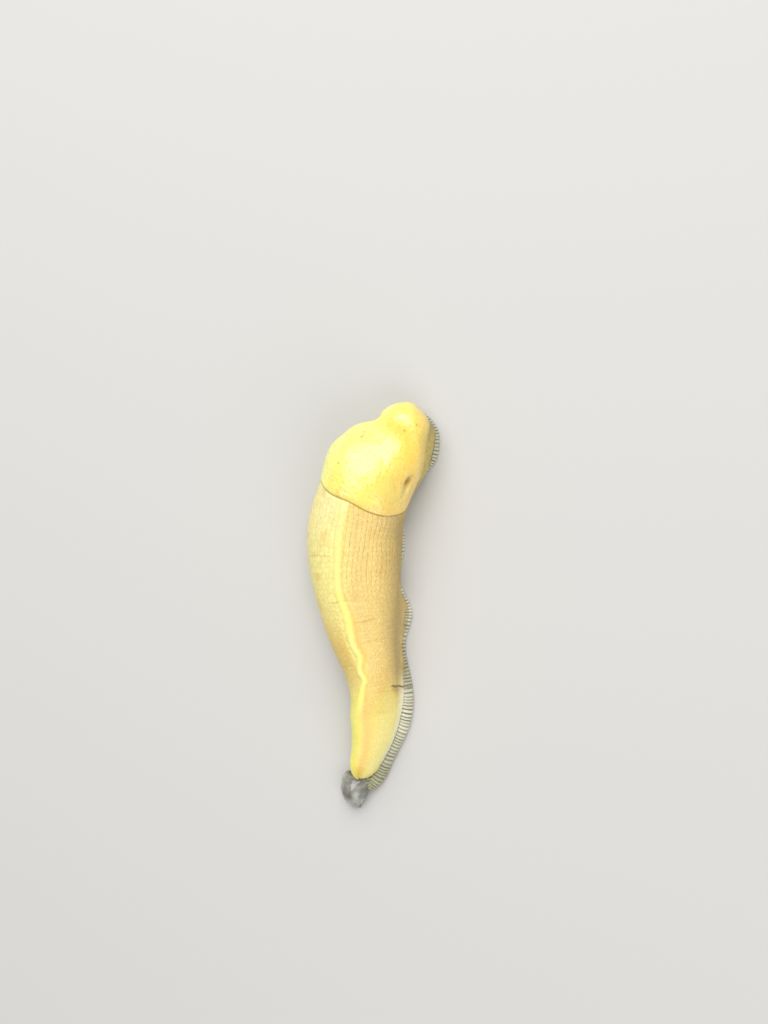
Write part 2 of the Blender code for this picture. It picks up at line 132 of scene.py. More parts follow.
# A shallow valley parts the hood from the dome: its place and depth at angles round the body.
VALLEY_PLACE = (
    (-100, 51.0), (-58, 50.0), (-25, 49.1), (-5, 48.9), (11, 48.6), (22, 47.9), (31, 46.9),
    (38, 45.9), (52, 44.4), (70, 43.4),
)
VALLEY_DEPTH = ((-100, 0.0), (-60, 0.2), (-30, 0.4), (0, 0.4), (22, 0.35), (38, 0.2), (56, 0.0))
VALLEY_WIDTH = 2.3

SPINE_ENDS = (-62.0, 62.0)
SPINE_STEP = 0.5
# Tip and rounding of the front and of the rear.
BODY_ENDS = ((56.0, 7.6), (-53.4, 4.6))
FOOT_ENDS = ((54.2, 5.0), (-55.8, 6.5))
FURROW_HEIGHT = 2.5
FURROW_INSET = 0.5
LEAN_HEIGHT = 12.0
LEAN_POWER = 1.2
BODY_FLOOR = 2.2  # the body's underside, inside the foot

FOOT_TOP = 3.3
FOOT_WIDEST_HEIGHT = 0.8
FOOT_TOP_INSET = 3.0
FOOT_SOLE_INSET = 0.6

MANTLE_RAISE = 0.3  # how far the mantle stands over the trunk
SLIT_DEPTH = 0.85  # of the slit behind the mantle's edge, and where it is all but closed
CLOSED_SLIT_DEPTH = 0.1
SHARP_BLEND = 0.08  # rounding between the mantle and the flesh, at a slit and without one
SOFT_BLEND = 1.3
FOOT_BLEND = 0.5
KNOB_BLEND = 0.35
UPPER_TENTACLE = SimpleNamespace(place=53.1, sideways=2.1, height=4.4, radius=0.9)
LOWER_TENTACLE = SimpleNamespace(place=53.1, sideways=1.05, height=3.5, radius=0.5)
MOUTH = SimpleNamespace(place=53.3, height=3.4, radii=(0.3, 0.7, 0.6))
PORE_FURROW = ((39.6, 62.8), (34.8, 70.5))  # place and angle of the ends of the pore's furrow


def smooth_curve(stations):
    """Return a reader of the natural cubic spline through (place, value) stations."""
    places, values = np.array(stations, float).T
    spans = np.diff(places)
    count = len(places)
    system = np.eye(count)
    change = np.zeros(count)
    i = np.arange(1, count - 1)
    system[i, i - 1] = spans[:-1]
    system[i, i] = 2 * (spans[:-1] + spans[1:])
    system[i, i + 1] = spans[1:]
    change[i] = 6 * np.diff(np.diff(values) / spans)
    bends = np.linalg.solve(system, change)
    table_places = np.linspace(places[0], places[-1], 600)
    i = np.clip(np.searchsorted(places, table_places) - 1, 0, count - 2)
    past = table_places - places[i]
    left = places[i + 1] - table_places
    table = (bends[i] * left ** 3 + bends[i + 1] * past ** 3) / (6 * spans[i])
    table += (values[i] / spans[i] - bends[i] * spans[i] / 6) * left
    table += (values[i + 1] / spans[i] - bends[i + 1] * spans[i] / 6) * past

    def read(place):
        return np.interp(place, table_places, table)

    return read


CURVES = {name: smooth_curve(stations) for name, stations in SECTION.items()}
spine_x = smooth_curve(SPINE_X)
keel_wander = smooth_curve(KEEL_WANDER)
keel_width = smooth_curve(KEEL_WIDTH)
mantle_edge = smooth_curve(MANTLE_EDGE)
valley_place = smooth_curve(VALLEY_PLACE)
valley_depth = smooth_curve(VALLEY_DEPTH)


def fade(low, high, value):
    """0 below `low`, 1 above `high`, with a smooth rise between."""
    share = np.clip((value - low) / (high - low), 0, 1)
    return share * share * (3 - 2 * share)


def bump(value, middle, width):
    """A bell of height 1."""
    return np.exp(-((value - middle) / width) ** 2)


def mix(first, second, share):
    """Blend from `first` to `second`."""
    return first + (second - first) * share


def smooth_least(first, second, reach):
    """The smaller of two fields, rounded where they cross."""
    share = np.clip(0.5 + 0.5 * (second - first) / reach, 0, 1)
    return mix(second, first, share) - reach * share * (1 - share)


def spine_slope(place):
    """How far the spine goes to the right for each millimetre towards the head."""
    return (spine_x(place + SPINE_STEP) - spine_x(place - SPINE_STEP)) / (2 * SPINE_STEP)


def plan_coordinates(x, y):
    """Place along the spine, and distance to its right, of points seen from above."""
    shape = np.broadcast_shapes(np.shape(x), np.shape(y))
    x = np.broadcast_to(x, shape).ravel().astype(float)
    y = np.broadcast_to(y, shape).ravel().astype(float)
    samples = np.arange(*SPINE_ENDS, SPINE_STEP)
    samples_x = spine_x(samples)
    place = np.empty_like(x)
    for part in np.array_split(np.arange(x.size), max(1, x.size // 20000)):
        away = (x[part, None] - samples_x) ** 2 + (y[part, None] - samples) ** 2
        place[part] = samples[np.argmin(away, axis=1)]
    for _ in range(4):
        slope = spine_slope(place)
        ends = spine_x(place + SPINE_STEP) + spine_x(place - SPINE_STEP)
        bend = (ends - 2 * spine_x(place)) / SPINE_STEP ** 2
        off_x = x - spine_x(place)
        stride = (off_x * slope + y - place) / np.maximum(1 + slope ** 2 - off_x * bend, 0.4)
        place = place + np.clip(stride, -0.5, 0.5)
    slope = spine_slope(place)
    sideways = (x - spine_x(place) - (y - place) * slope) / np.sqrt(1 + slope ** 2)
    return place.reshape(shape), sideways.reshape(shape)


def on_spine(place, sideways, height):
    """Carry a point of the cross-section at `place` to the frame."""
    slope = spine_slope(place)
    length = np.sqrt(1 + slope ** 2)
    x = spine_x(place) + sideways / length
    y = place - sideways * slope / length
    return np.stack(np.broadcast_arrays(x, y, height), axis=-1)


def into_ends(place, ends):
    """How far a place lies into the rounded front and the rounded rear: 1 at the tips."""
    (front, front_rounding), (rear, rear_rounding) = ends
    ahead = (place - front) / front_rounding + 1
    behind = (rear - place) / rear_rounding + 1
    return np.maximum(ahead, 0), np.maximum(behind, 0)


def section_at(x, y):
    """The body's measures at the places of points seen from above."""
    at = SimpleNamespace()
    at.place, at.sideways = plan_coordinates(x, y)
    for name, curve in CURVES.items():
        setattr(at, name, curve(at.place))
    at.roof = at.back - at.widest
    front, rear = into_ends(at.place, BODY_ENDS)
    at.beyond = front ** 2 + rear ** 2
    return at


def lean_offset(at, z):
    """Distance to the right of the leaning body's middle line."""
    rise = np.clip((z - FURROW_HEIGHT) / LEAN_HEIGHT, 0, None)
    return at.sideways - at.lean * rise ** LEAN_POWER


def section_shares(at, z):
    """Offset from the middle line, half width, and shares of the way up and down from there."""
    offset = lean_offset(at, z)
    width = np.where(offset < 0, at.width_left, at.width_right)
    up = np.maximum(z - at.widest, 0) / at.roof
    down = np.clip((at.widest - z) / (at.widest - FURROW_HEIGHT), 0, 1)
    return offset, width, up, down


def body_gauge(at, z):
    """How large a copy of the body's section passes through a point: 1 on the skin."""
    offset, width, up, down = section_shares(at, z)
    foot = np.where(offset < 0, at.foot_left, at.foot_right) - FURROW_INSET
    tuck = np.maximum(width - foot, np.where(offset < 0, at.left_tuck, at.right_tuck))
    power = 2 / at.roof_power
    high = ((np.abs(offset) / width) ** power + up ** power) ** (1 / power)
    low = np.abs(offset) / (width - tuck * (1 - np.sqrt(1 - down ** 2)))
    return np.sqrt(np.where(z > at.widest, high, low) ** 2 + at.beyond)


def body_angle(at, z):
    """Angle round the body: 0 on the keel, 90 at the widest line, 150 at the furrow."""
    offset, width, up, down = section_shares(at, z)
    power = 1 / at.roof_power
    high = np.degrees(np.arctan2((np.abs(offset) / width) ** power, up ** power))
    low = 90 + np.degrees(np.arcsin(down)) * 60 / 90
    return np.where(offset < 0, -1, 1) * np.where(z > at.widest, high, low)


def margin_height(at):
    """Height of the mantle's side margin."""
    margin = np.where(at.sideways < 0, at.left_margin, at.right_margin)
    above = at.widest + at.roof * np.cos(np.radians(margin))
    below = at.widest - (at.widest - FURROW_HEIGHT) * np.sin(np.radians((margin - 90) * 1.5))
    return np.where(margin < 90, above, below)


def mantle_inset(at, z):
    """Distance in from the mantle's edge, negative outside the mantle."""
    rear = at.place - mantle_edge(body_angle(at, z))
    side = z - margin_height(at)
    return smooth_least(rear, side, 4.0)


def valley(at, z):
    """Depth of the valley between the mantle's dome and its hood."""
    angle = body_angle(at, z)
    return valley_depth(angle) * bump(at.place, valley_place(angle), VALLEY_WIDTH)


def foot_gauge(at, z):
    """How large a copy of the foot's section passes through a point: 1 at its edge."""
    offset = at.sideways - at.foot_shift
    width = np.where(offset < 0, at.foot_left, at.foot_right)
    up = np.clip((z - FOOT_WIDEST_HEIGHT) / (FOOT_TOP - FOOT_WIDEST_HEIGHT), 0, 1)
    down = np.clip((FOOT_WIDEST_HEIGHT - z) / FOOT_WIDEST_HEIGHT, 0, 1)
    inset = FOOT_TOP_INSET * (1 - np.sqrt(1 - up ** 2))
    inset = inset + FOOT_SOLE_INSET * (1 - np.sqrt(1 - down ** 2))
    front, rear = into_ends(at.place, FOOT_ENDS)
    across = np.abs(offset) / np.maximum(width - inset, 0.3)
    return np.sqrt(across ** 2 + front ** 2 + rear ** 2)


def distance_from(gauge):
    """Turn a gauge over a block of the grid into millimetres from its surface."""
    slopes = np.gradient(gauge, VOXEL)
    steepness = np.sqrt(sum(slope ** 2 for slope in slopes))
    return (gauge - 1) / np.clip(steepness, 0.02, 0.5)


def ellipsoid(spot, middle, radii):
    """Field of a small upright ellipsoid, negative inside."""
    total = sum(((s - m) / radius) ** 2 for s, m, radius in zip(spot, middle, radii))
    return (np.sqrt(total) - 1) * min(radii)


def tentacle_knobs():
    """The four drawn-in tentacles, each with its middle."""
    return [(knob, on_spine(knob.place, turn * knob.sideways, knob.height))
            for knob in (UPPER_TENTACLE, LOWER_TENTACLE) for turn in (-1, 1)]


def front_right(at):
    """1 on the right of the neck, where the mantle's margin lies flush with the flank."""
    return fade(37, 42, at.place) * fade(1.0, 4.0, at.sideways)


def margin_softness(at):
    """How softly the mantle's edge runs into the flesh: 0 is a sharp slit, 1 is no slit."""
    left = fade(30, 34, at.place) * fade(-2.0, -6.0, at.sideways)
    return np.maximum(front_right(at), 0.35 * left)


def core_sink(at, inset):
    """How far the flesh draws in beneath the mantle, and behind its edge."""
    slit = mix(SLIT_DEPTH, CLOSED_SLIT_DEPTH, margin_softness(at)) * bump(inset, 0.35, 0.55)
    covered = 0.6 * fade(0.3, 1.6, inset)
    return slit + covered + at.head_depth


def mantle_field(at, skin_distance, inset):
    """The mantle: a thick sheet with rounded edges, standing a little over the skin."""
    step = MANTLE_RAISE * (1 - front_right(at) * fade(4.5, 0.5, inset))
    middle = skin_distance + (at.thickness - step) / 2
    side = at.lip - inset
    face = np.abs(middle) - (at.thickness + step) / 2 + at.lip
    corner = np.sqrt(np.maximum(side, 0) ** 2 + np.maximum(face, 0) ** 2)
    return corner + np.minimum(np.maximum(side, face), 0) - at.lip


def animal_field(x, y, z):
    """Field of the whole animal over a block, with the measures that the skin's looks use."""
    at = section_at(x, y)
    for name, value in vars(at).items():
        setattr(at, name, value[..., None])
    inset = mantle_inset(at, z)
    dip = valley(at, z) * fade(-1, 1, inset)
    skin_distance = distance_from(body_gauge(at, z)) + dip
    foot = np.maximum(distance_from(foot_gauge(at, z)), z - FOOT_TOP)
    core = np.maximum(skin_distance + core_sink(at, inset), BODY_FLOOR - z)
    spot = (x[..., None], y[..., None], z)
    for knob, middle in tentacle_knobs():
        core = smooth_least(core, ellipsoid(spot, middle, (knob.radius,) * 3), KNOB_BLEND)
    mouth = ellipsoid(spot, on_spine(MOUTH.place, 0.0, MOUTH.height), MOUTH.radii)
    core = np.maximum(core, -mouth)
    mantle = mantle_field(at, skin_distance, inset)
    flesh = smooth_least(core, foot, FOOT_BLEND)
    whole = smooth_least(flesh, mantle, mix(SHARP_BLEND, SOFT_BLEND, margin_softness(at)))
    return np.maximum(whole, -z), flesh - mantle, inset, core - foot


FLESH_LOW, FLESH_HIGH = (-15.6, -58.4), (24.2, 58.4, 23.0)
SLIME_LOW, SLIME_HIGH = (-8.5, -64.5), (4.5, -51.5, 7.5)
SLAB = 40  # rows of the grid that are worked out at a time


def grid_axes(low, high):
    """Values a voxel apart along each axis, from `low` to `high` and from just under the floor."""
    return [np.arange(start, stop, VOXEL) for start, stop in zip((*low, -3 * VOXEL), high)]


def fill_grid():
    """Work out the animal's field over the whole grid, in slabs to save memory."""
    x, y, z = grid_axes(FLESH_LOW, FLESH_HIGH)
    volumes = [np.empty((len(x), len(y), len(z)), np.float32) for _ in range(4)]
    for start in range(0, len(y), SLAB):
        low = max(start - 1, 0)
        stop = start + SLAB
        grid_x, grid_y = np.meshgrid(x, y[low:stop + 1], indexing="ij")
        values = animal_field(grid_x, grid_y, z)
        for volume, value in zip(volumes, values):
            volume[:, start:stop] = value[:, start - low:stop - low]
    return np.array((x[0], y[0], z[0])), volumes


def blend_corners(corner, share, read):
    """Blend what `read` gives at all the corners of each grid cell, by its share of each axis."""
    total = 0
    for shift in np.ndindex((2,) * corner.shape[-1]):
        weight = np.prod(np.where(shift, share, 1 - share), axis=-1)
        total = total + weight * read(corner + shift)
    return total


def sample(volume, origin, points):
    """Read a volume at points between its grid's corners."""
    spot = np.clip((points - origin) / VOXEL, 0, np.array(volume.shape) - 1.001)
    corner = spot.astype(int)
    return blend_corners(corner, spot - corner, lambda near: volume[tuple(near.T)])


def gather(quads, values, count):
    """Sum per-face rows of values onto the faces' corners."""
    total = np.zeros((count, values.shape[1]))
    for column in range(values.shape[1]):
        spread = np.repeat(values[:, column], 4)
        total[:, column] = np.bincount(quads.ravel(), spread, minlength=count)
    return total


def soften(points, quads):
    """Even out the grid's steps, moving points towards the middle of their faces and back."""
    uses = np.bincount(quads.ravel(), minlength=len(points))[:, None]
    for strength in (0.6, -0.62, 0.6, -0.62):
        middles = points[quads].mean(axis=1)
        points = points + strength * (gather(quads, middles, len(points)) / uses - points)
    return points


def normals_of(points, quads):
    """Outward direction at each point."""
    diagonals = np.cross(points[quads[:, 2]] - points[quads[:, 0]],
                         points[quads[:, 3]] - points[quads[:, 1]])
    total = gather(quads, diagonals, len(points))
    return total / np.linalg.norm(total, axis=1, keepdims=True)


def surface_of(volume, origin):
    """Even quads on the surface where the field is zero, with each point's outward direction."""
    grid = openvdb.FloatGrid(3 * VOXEL)
    grid.copyFromArray(np.clip(volume, -3 * VOXEL, 3 * VOXEL).astype(np.float32))
    points, quads = grid.convertToQuads(isovalue=0.0)
    quads = quads.astype(np.int64)
    points = soften(points.astype(float) * VOXEL + origin, quads)
    normals = normals_of(points, quads)
    if (normals * (points - points.mean(axis=0))).sum() < 0:
        return points, quads[:, ::-1], -normals
    return points, quads, normals


def scatter(corner, seed):
    """Repeatable random numbers from 0 to 1, one for each whole-number corner."""
    total = np.full(corner.shape[:-1], seed * 974634777, np.uint32)
    with np.errstate(over="ignore"):
        for axis, factor in zip(range(corner.shape[-1]), (2654435761, 2246822519, 3266489917)):
            total = (total ^ (corner[..., axis].astype(np.int64) & 0xFFFFFFFF).astype(np.uint32))
            total = total * np.uint32(factor)
            total = total ^ (total >> np.uint32(15))
    return total / 4294967295.0


def noise(points, size, seed):
    """Smooth noise from -1 to 1, with lumps of about `size`."""
    spot = points / size
    corner = np.floor(spot).astype(int)
    share = fade(0, 1, spot - corner)
    return 2 * blend_corners(corner, share, lambda near: scatter(near, seed)) - 1


def flat_noise(first, second, size, seed):
    """Smooth noise over two measures of the skin."""
    return noise(np.stack(np.broadcast_arrays(first, second), axis=1), size, seed)


def cells(across, along, seed):
    """Loose cells one unit apart: distance to the nearest border, and a number for each."""
    spot = np.stack((across, along), axis=-1)
    corner = np.floor(spot).astype(int)
    nearest = np.full(across.shape, 9.0)
    second = np.full(across.shape, 9.0)
    number = np.zeros(across.shape)
    for shift in np.ndindex(3, 3):
        home = corner + shift - 1
        middle_a = home[..., 0] + 0.5 + 0.7 * (scatter(home, seed) - 0.5)
        middle_b = home[..., 1] + 0.5 + 0.9 * (scatter(home, seed + 1) - 0.5)
        away = np.hypot(middle_a - across, middle_b - along)
        closer = away < nearest
        second = np.where(closer, nearest, np.minimum(second, away))
        number = np.where(closer, scatter(home, seed + 2), number)
        nearest = np.where(closer, away, nearest)
    return second - nearest, number


def foot_outline():
    """Points round the edge of the foot, with their distance along it."""
    turn = np.linspace(0, np.pi, 420)
    (front_tip, _), (rear_tip, _) = FOOT_ENDS
    place = mix(rear_tip, front_tip, (1 - np.cos(turn)) / 2)
    front, rear = np.minimum(into_ends(place, FOOT_ENDS), 1)
    end = np.sqrt(1 - front ** 2) * np.sqrt(1 - rear ** 2)
    shift = CURVES["foot_shift"](place)
    right = on_spine(place, shift + CURVES["foot_right"](place) * end, 0.0)
    left = on_spine(place, shift - CURVES["foot_left"](place) * end, 0.0)
    outline = np.concatenate((right, left[-2:0:-1]))[:, :2]
    lengths = np.linalg.norm(np.diff(outline, axis=0), axis=1)
    return outline, np.concatenate(([0], np.cumsum(lengths)))


def along_outline(points):
    """Distance along the foot's edge, and in from it, for points of the fringe."""
    outline, lengths = foot_outline()
    flat = points[:, :2]
    along = np.empty(len(flat))
    away = np.empty(len(flat))
    ahead = np.roll(outline, -1, axis=0) - np.roll(outline, 1, axis=0)
    ahead = ahead / np.linalg.norm(ahead, axis=1, keepdims=True)
    for part in np.array_split(np.arange(len(flat)), max(1, len(flat) // 10000)):
        gap = flat[part, None] - outline
        distance = (gap ** 2).sum(axis=2)
        near = np.argmin(distance, axis=1)
        rows = np.arange(len(part))
        slide = (gap[rows, near] * ahead[near]).sum(axis=1)
        along[part] = lengths[near] + np.clip(slide, -0.4, 0.4)
        away[part] = np.sqrt(distance[rows, near])
    return along, away


def read_skin(points, origin, volumes):
    """Where each point of the skin lies on the animal."""
    at = section_at(points[:, 0], points[:, 1])
    height = points[:, 2]
    at.points = points
    at.height = height
    at.angle = body_angle(at, height)
    at.right = at.angle > 0
    at.size = (np.where(at.right, at.width_right, at.width_left) + at.roof) / 2
    over = np.radians(np.clip(at.angle, -90, 90)) * at.size
    under = np.where(np.abs(at.angle) > 90, at.widest - height, 0)
    at.roll = over + np.sign(at.angle) * under
    at.arc = at.roll - keel_wander(at.place)
    at.inset = sample(volumes[2], origin, points)
    soft = margin_softness(at)
    over_flesh = sample(volumes[1], origin, points)
    at.mantle = fade(mix(-0.05, -0.7, soft), mix(0.12, 0.5, soft), over_flesh)
    over_foot = sample(volumes[3], origin, points)
    at.foot = fade(-0.1, 0.25, over_foot)
    at.foot = np.maximum(at.foot, fade(2.6, 2.1, height)) * (1 - at.mantle)
    flare = np.where(at.right, at.right_tuck, at.left_tuck)
    at.seam = bump(over_foot, 0.05, 0.18) * (1 - at.mantle) * fade(1.6, 2.1, height)
    at.seam = at.seam * mix(0.4, 1, fade(-0.8, 0.3, flare))
    at.trunk = (1 - at.mantle) * (1 - at.foot)
    at.covered = fade(-1.5, 0.5, at.inset)
    at.tail = fade(-22, -38, at.place)
    return at


# Relief of the skin.
FRINGE_SPACING = 1.03
FRINGE_DEPTH = 0.3
FRINGE_RIDGE = 0.06
SEAM_DEPTH = 0.14  # of the furrow between the foot and the flank
TUBERCLE_WIDTH = 0.74
TUBERCLE_HEIGHT = 0.05
TUBERCLE_BORDER = 0.07
GROOVE_SPACING = 1.36
GROOVE_DEPTH = 0.1
KEEL_HEIGHT = SimpleNamespace(trunk=0.3, tail=0.55)
PORE = SimpleNamespace(furrow=0.4, heart=0.3, lips=0.2)
PIT_DEPTH = 0.05
VALLEY_FLOOR = 0.14


def add_fringe(at):
    """Cross grooves of the foot's fringe: their depth, and how strongly painted shade darkens them.
    """
    at.groove = np.zeros(len(at.points))
    at.fringe = np.zeros(len(at.points))
    at.ridge = np.zeros(len(at.points))
    near = np.flatnonzero((at.foot > 0.01) & (at.height > 0.05))
    along, away = along_outline(at.points[near])
    warp = flat_noise(along, 0, 3.2, 11)
    lean = flat_noise(along, away, 2.4, 13)
    count = (along + 0.14 * lean) / FRINGE_SPACING + 0.3 * warp
    groove = bump(count, np.round(count), 0.19)
    strength = 0.8 + 0.2 * flat_noise(np.round(count), 0, 1.0, 12)
    band = fade(4.4, 3.4, away) * fade(0.1, 0.5, at.height[near])
    at.groove[near] = groove * band * strength
    at.fringe[near] = band
    at.ridge[near] = scatter(np.stack((np.floor(count), 0 * count), axis=1).astype(int), 14)


def trunk_relief(at):
    """Grooves running along the trunk, and the fine tubercles between them."""
    wander = flat_noise(at.arc * 0.5, at.place * 0.22, 1.8, 21)
    flow = at.arc + 0.45 * wander
    fine = flat_noise(at.arc, at.place, 0.9, 22)
    length = mix(1.45, 1.0, fade(12, -24, at.place))
    border, at.number = cells((flow + 0.1 * fine) / TUBERCLE_WIDTH, at.place / length, 31)
    at.border = bump(border, 0, 0.2)
    turns = flow / GROOVE_SPACING
    main = bump(np.sin(np.pi * turns), 0, 0.26) * fade(-8, 12, at.place)
    patchy = 0.75 + 0.25 * flat_noise(np.round(turns), at.place / 3.0, 1.0, 23)
    keel_clear = fade(0.75, 1.35, np.abs(at.arc) / keel_width(at.place))
    at.line = main * patchy * mix(0.45, 1, at.right) * keel_clear
    at.border = at.border * keel_clear * mix(1, 0.55, at.tail) * mix(0.7, 1, at.right)
    dome = TUBERCLE_HEIGHT * (at.number - 0.5) * keel_clear
    return dome - TUBERCLE_BORDER * at.border - GROOVE_DEPTH * at.line


def keel_relief(at):
    """The keel: a low band on the trunk, a rounded crest on the tail."""
    tall = mix(KEEL_HEIGHT.trunk, KEEL_HEIGHT.tail, fade(8, -24, at.place))
    waver = 1 + mix(0.3, 0.12, at.tail) * flat_noise(at.place, 0, 1.6, 41)
    share = at.arc / keel_width(at.place)
    open_back = fade(27.2, 24, at.place)
    at.keel = bump(share, 0, 1) * open_back
    # Where painted shade lies along the right of the keel.
    at.keel_side = bump(share, 1.6, 0.6) * open_back
    beside = bump(np.abs(share), 1.5, 0.35)
    return tall * waver * at.keel - 0.08 * beside * open_back


# Wrinkles: place on the back, first and last angle, depth, half width, slant in mm per 10 degrees
# and darkness of their painted shade.
WRINKLES = (
    (11.7, -58, -8, 0.08, 0.22, 0.05, 0.18), (-1.2, -24, 14, 0.1, 0.22, 0.0, 0.22),
    (6.5, 38, 66, 0.08, 0.25, 0.0, 0.15), (-7.9, 10, 50, 0.1, 0.25, 0.3, 0.22),
    (-13.6, 12, 74, 0.08, 0.25, 0.12, 0.1), (15.6, 88, 112, 0.1, 0.22, 0.0, 0.25),
    (-19.6, -70, -16, 0.08, 0.25, 0.1, 0.1), (3.0, -110, -60, 0.1, 0.25, 0.1, 0.2),
    (-33.5, 24, 84, 0.06, 0.3, 0.0, 0.05), (19.0, -120, -70, 0.08, 0.25, 0.0, 0.2),
)
CREASE = SimpleNamespace(place=-27.0, first=66, last=156, depth=0.5, width=0.26, slant=-0.11)


def fold(at, place, first, last, width, slant):
    """Strength of one crosswise fold, from 0 to 1."""
    middle = place + slant * (at.angle - first) / 10
    sway = 0.2 * flat_noise(at.arc, 0, 2.2, 51)
    reach = fade(first - 4, first + 10, at.angle) * fade(last + 4, last - 10, at.angle)
    return bump(at.place, middle + sway, width) * reach


def wrinkle_relief(at):
    """The crosswise wrinkles of the trunk and the deep crease at the base of the tail."""
    total = 0
    # Strength of the painted shade along the wrinkles.
    at.wrinkle = 0
    for place, first, last, depth, width, slant, dark in WRINKLES:
        strength = fold(at, place, first, last, width, slant)
        total = total - depth * strength
        at.wrinkle = np.maximum(at.wrinkle, strength * dark)
    crease = CREASE
    at.crease = fold(at, crease.place, crease.first, crease.last, crease.width, crease.slant)
    at.shade = fold(at, crease.place - 0.9, crease.first, crease.last, 0.8, crease.slant)
    bulge = fold(at, crease.place - 2.6, crease.first, crease.last, 1.4, crease.slant)
    return total - crease.depth * at.crease + 0.25 * bulge


def along_path(at, start, finish):
    """How far along a line on the skin each point is, and how far to its side."""
    ends = []
    for place, angle in (start, finish):
        size = (CURVES["width_right"](place) + CURVES["back"](place) - CURVES["widest"](place)) / 2
        ends.append(np.array((place, math.radians(angle) * size)))
    run = ends[1] - ends[0]
    spot = np.stack((at.place, at.roll), axis=1) - ends[0]
    share = spot @ run / (run @ run)
    aside = spot @ np.array((-run[1], run[0])) / np.linalg.norm(run)
    return share, aside, np.linalg.norm(run)


def pore_relief(at):
    """The furrow that runs back from the breathing pore, with a raised lip below it."""
    share, aside, length = along_path(at, *PORE_FURROW)
    within = np.clip(share, 0, 1)
    gap = np.hypot((share - within) * length, aside)
    at.pore = bump(gap, 0, mix(1.0, 0.55, within)) * mix(1, 0.4, within)
    at.pore_heart = np.exp(-(((share - 0.16) * length / 1.15) ** 2 + (aside / 0.85) ** 2))
    near = bump(share, 0.5, 0.6)
    at.pore_lip = bump(share, 0.75, 0.3) * bump(aside, -1.3, 0.5) * at.mantle
    lips = near * (bump(aside, -1.35, 0.6) + 0.7 * bump(aside, 1.4, 0.7))
    return at.mantle * (PORE.lips * lips - PORE.furrow * at.pore - PORE.heart * at.pore_heart)


def mantle_relief(at):
    """Shallow swells in the mantle, and the fine pits and grains of its surface."""
    swell = 0.13 * noise(at.points, 6.0, 61) + 0.05 * noise(at.points, 2.2, 62)
    grain = 0.03 * noise(at.points, 0.75, 63) + 0.02 * noise(at.points, 0.45, 64)
    at.pit = fade(0.18, 0.5, noise(at.points, 0.6, 65)) * at.mantle
    dip = bump(at.place, valley_place(at.angle) - 0.7, 2.5) * fade(62, 30, at.angle)
    at.dip = dip * at.mantle
    relief = at.mantle * (swell * fade(0, 2.5, at.inset) + grain)
    return relief - PIT_DEPTH * at.pit - VALLEY_FLOOR * at.dip


def head_relief(at):
    """Wrinkled skin on the head and the sides of the neck."""
    tall = noise(at.points * (1, 1, 0.35), 0.8, 71)
    return (0.1 * tall * at.trunk * at.covered) * fade(26, 30, at.place)


def carve(at):
    """All the relief that the skin carries, in millimetres outwards."""
    add_fringe(at)
    trunk = at.trunk * (1 - at.covered)
    relief = trunk * (trunk_relief(at) + keel_relief(at)) + at.trunk * wrinkle_relief(at)
    relief = relief + pore_relief(at) + mantle_relief(at) + head_relief(at)
    ridges = FRINGE_RIDGE * at.fringe * (1 - at.groove)
    return relief + ridges - FRINGE_DEPTH * at.groove - SEAM_DEPTH * at.seam


def tone(red, green, blue):
    """A colour given as it looks on screen, turned to linear light."""
    share = np.array((red, green, blue)) / 255
    return np.where(share <= 0.04045, share / 12.92, ((share + 0.055) / 1.055) ** 2.4)


# Screen colours of the mantle.
LEMON = (255, 241, 98)
# Warmer yellow for the right side: partly the mantle's own tone, partly painted shade.
WARM_AND_SHADED_YELLOW = (255, 216, 98)
EDGE_YELLOW = (248, 206, 92)
# Painted shade in the valley between the dome and the hood.
VALLEY_SHADE_YELLOW = (252, 212, 88)
# Painted light: paler lemon on the left side, which faces the light.
PAINTED_LIGHT_LEMON = (255, 254, 138)
BRIGHT_BLOTCH = (255, 228, 104)
DULL_BLOTCH = (246, 198, 80)
# Painted shade in the fine pits of the mantle.
PIT_SHADE_TAN = (228, 188, 90)
# Painted shade on the flank below the flush margin at the front right.
FLANK_SHADE_OLIVE = (210, 189, 98)
SPECK_BROWN = (120, 92, 40)
LIP_PALE = (255, 236, 150)
# Painted shade in the pore's furrow and in its dimple.
FURROW_SHADE_BROWN = (190, 152, 60)
PORE_SHADE_BROWN = (160, 124, 50)
# Painted shade in the slit behind the mantle's edge.
SLIT_SHADE_DARK = (96, 74, 32)
# A painted shadow line along the flush margin at the front right.
MARGIN_SHADOW_BROWN = (150, 124, 50)
# Of the trunk and the tail.
STRAW = (253, 240, 152)
# Honey right of the keel: partly the skin's own warmer tone, partly painted shade.
HONEY_AND_SHADE = (248, 216, 132)
# Painted shade: tan on the right side, turned from the light.
TAN_SHADE = (194, 168, 104)
LEFT_OLIVE = (226, 204, 112)
REAR_OCHRE = (236, 200, 108)
# Painted highlight on the front left of the trunk, just behind the mantle.
PAINTED_LIGHT_STRAW = (254, 240, 176)
TAIL_YELLOW = (255, 224, 86)
# Painted light: paler yellow on the right side of the tail.
TAIL_LIGHT_PALE = (255, 238, 142)
# Lemon on the tail's left half: partly the keel's own colour, partly painted light.
TAIL_LEMON_AND_LIGHT = (255, 248, 116)
PATCH_OCHRE = (232, 190, 96)
# Painted shade in the borders between tubercles.
BORDER_SHADE_BROWN = (160, 126, 62)
# Painted shade in the grooves running along the trunk.
GROOVE_SHADE_BROWN = (110, 84, 40)
# Painted shade in the wrinkles.
WRINKLE_SHADE_BROWN = (130, 92, 38)
# Painted shade along the right side of the keel.
KEEL_SHADE_OCHRE = (238, 192, 78)
SHADE_BROWN = (160, 116, 44)
# The keel's paler yellow: partly its own colour, partly a painted highlight on the crest.
KEEL_YELLOW_AND_HIGHLIGHT = (255, 246, 128)
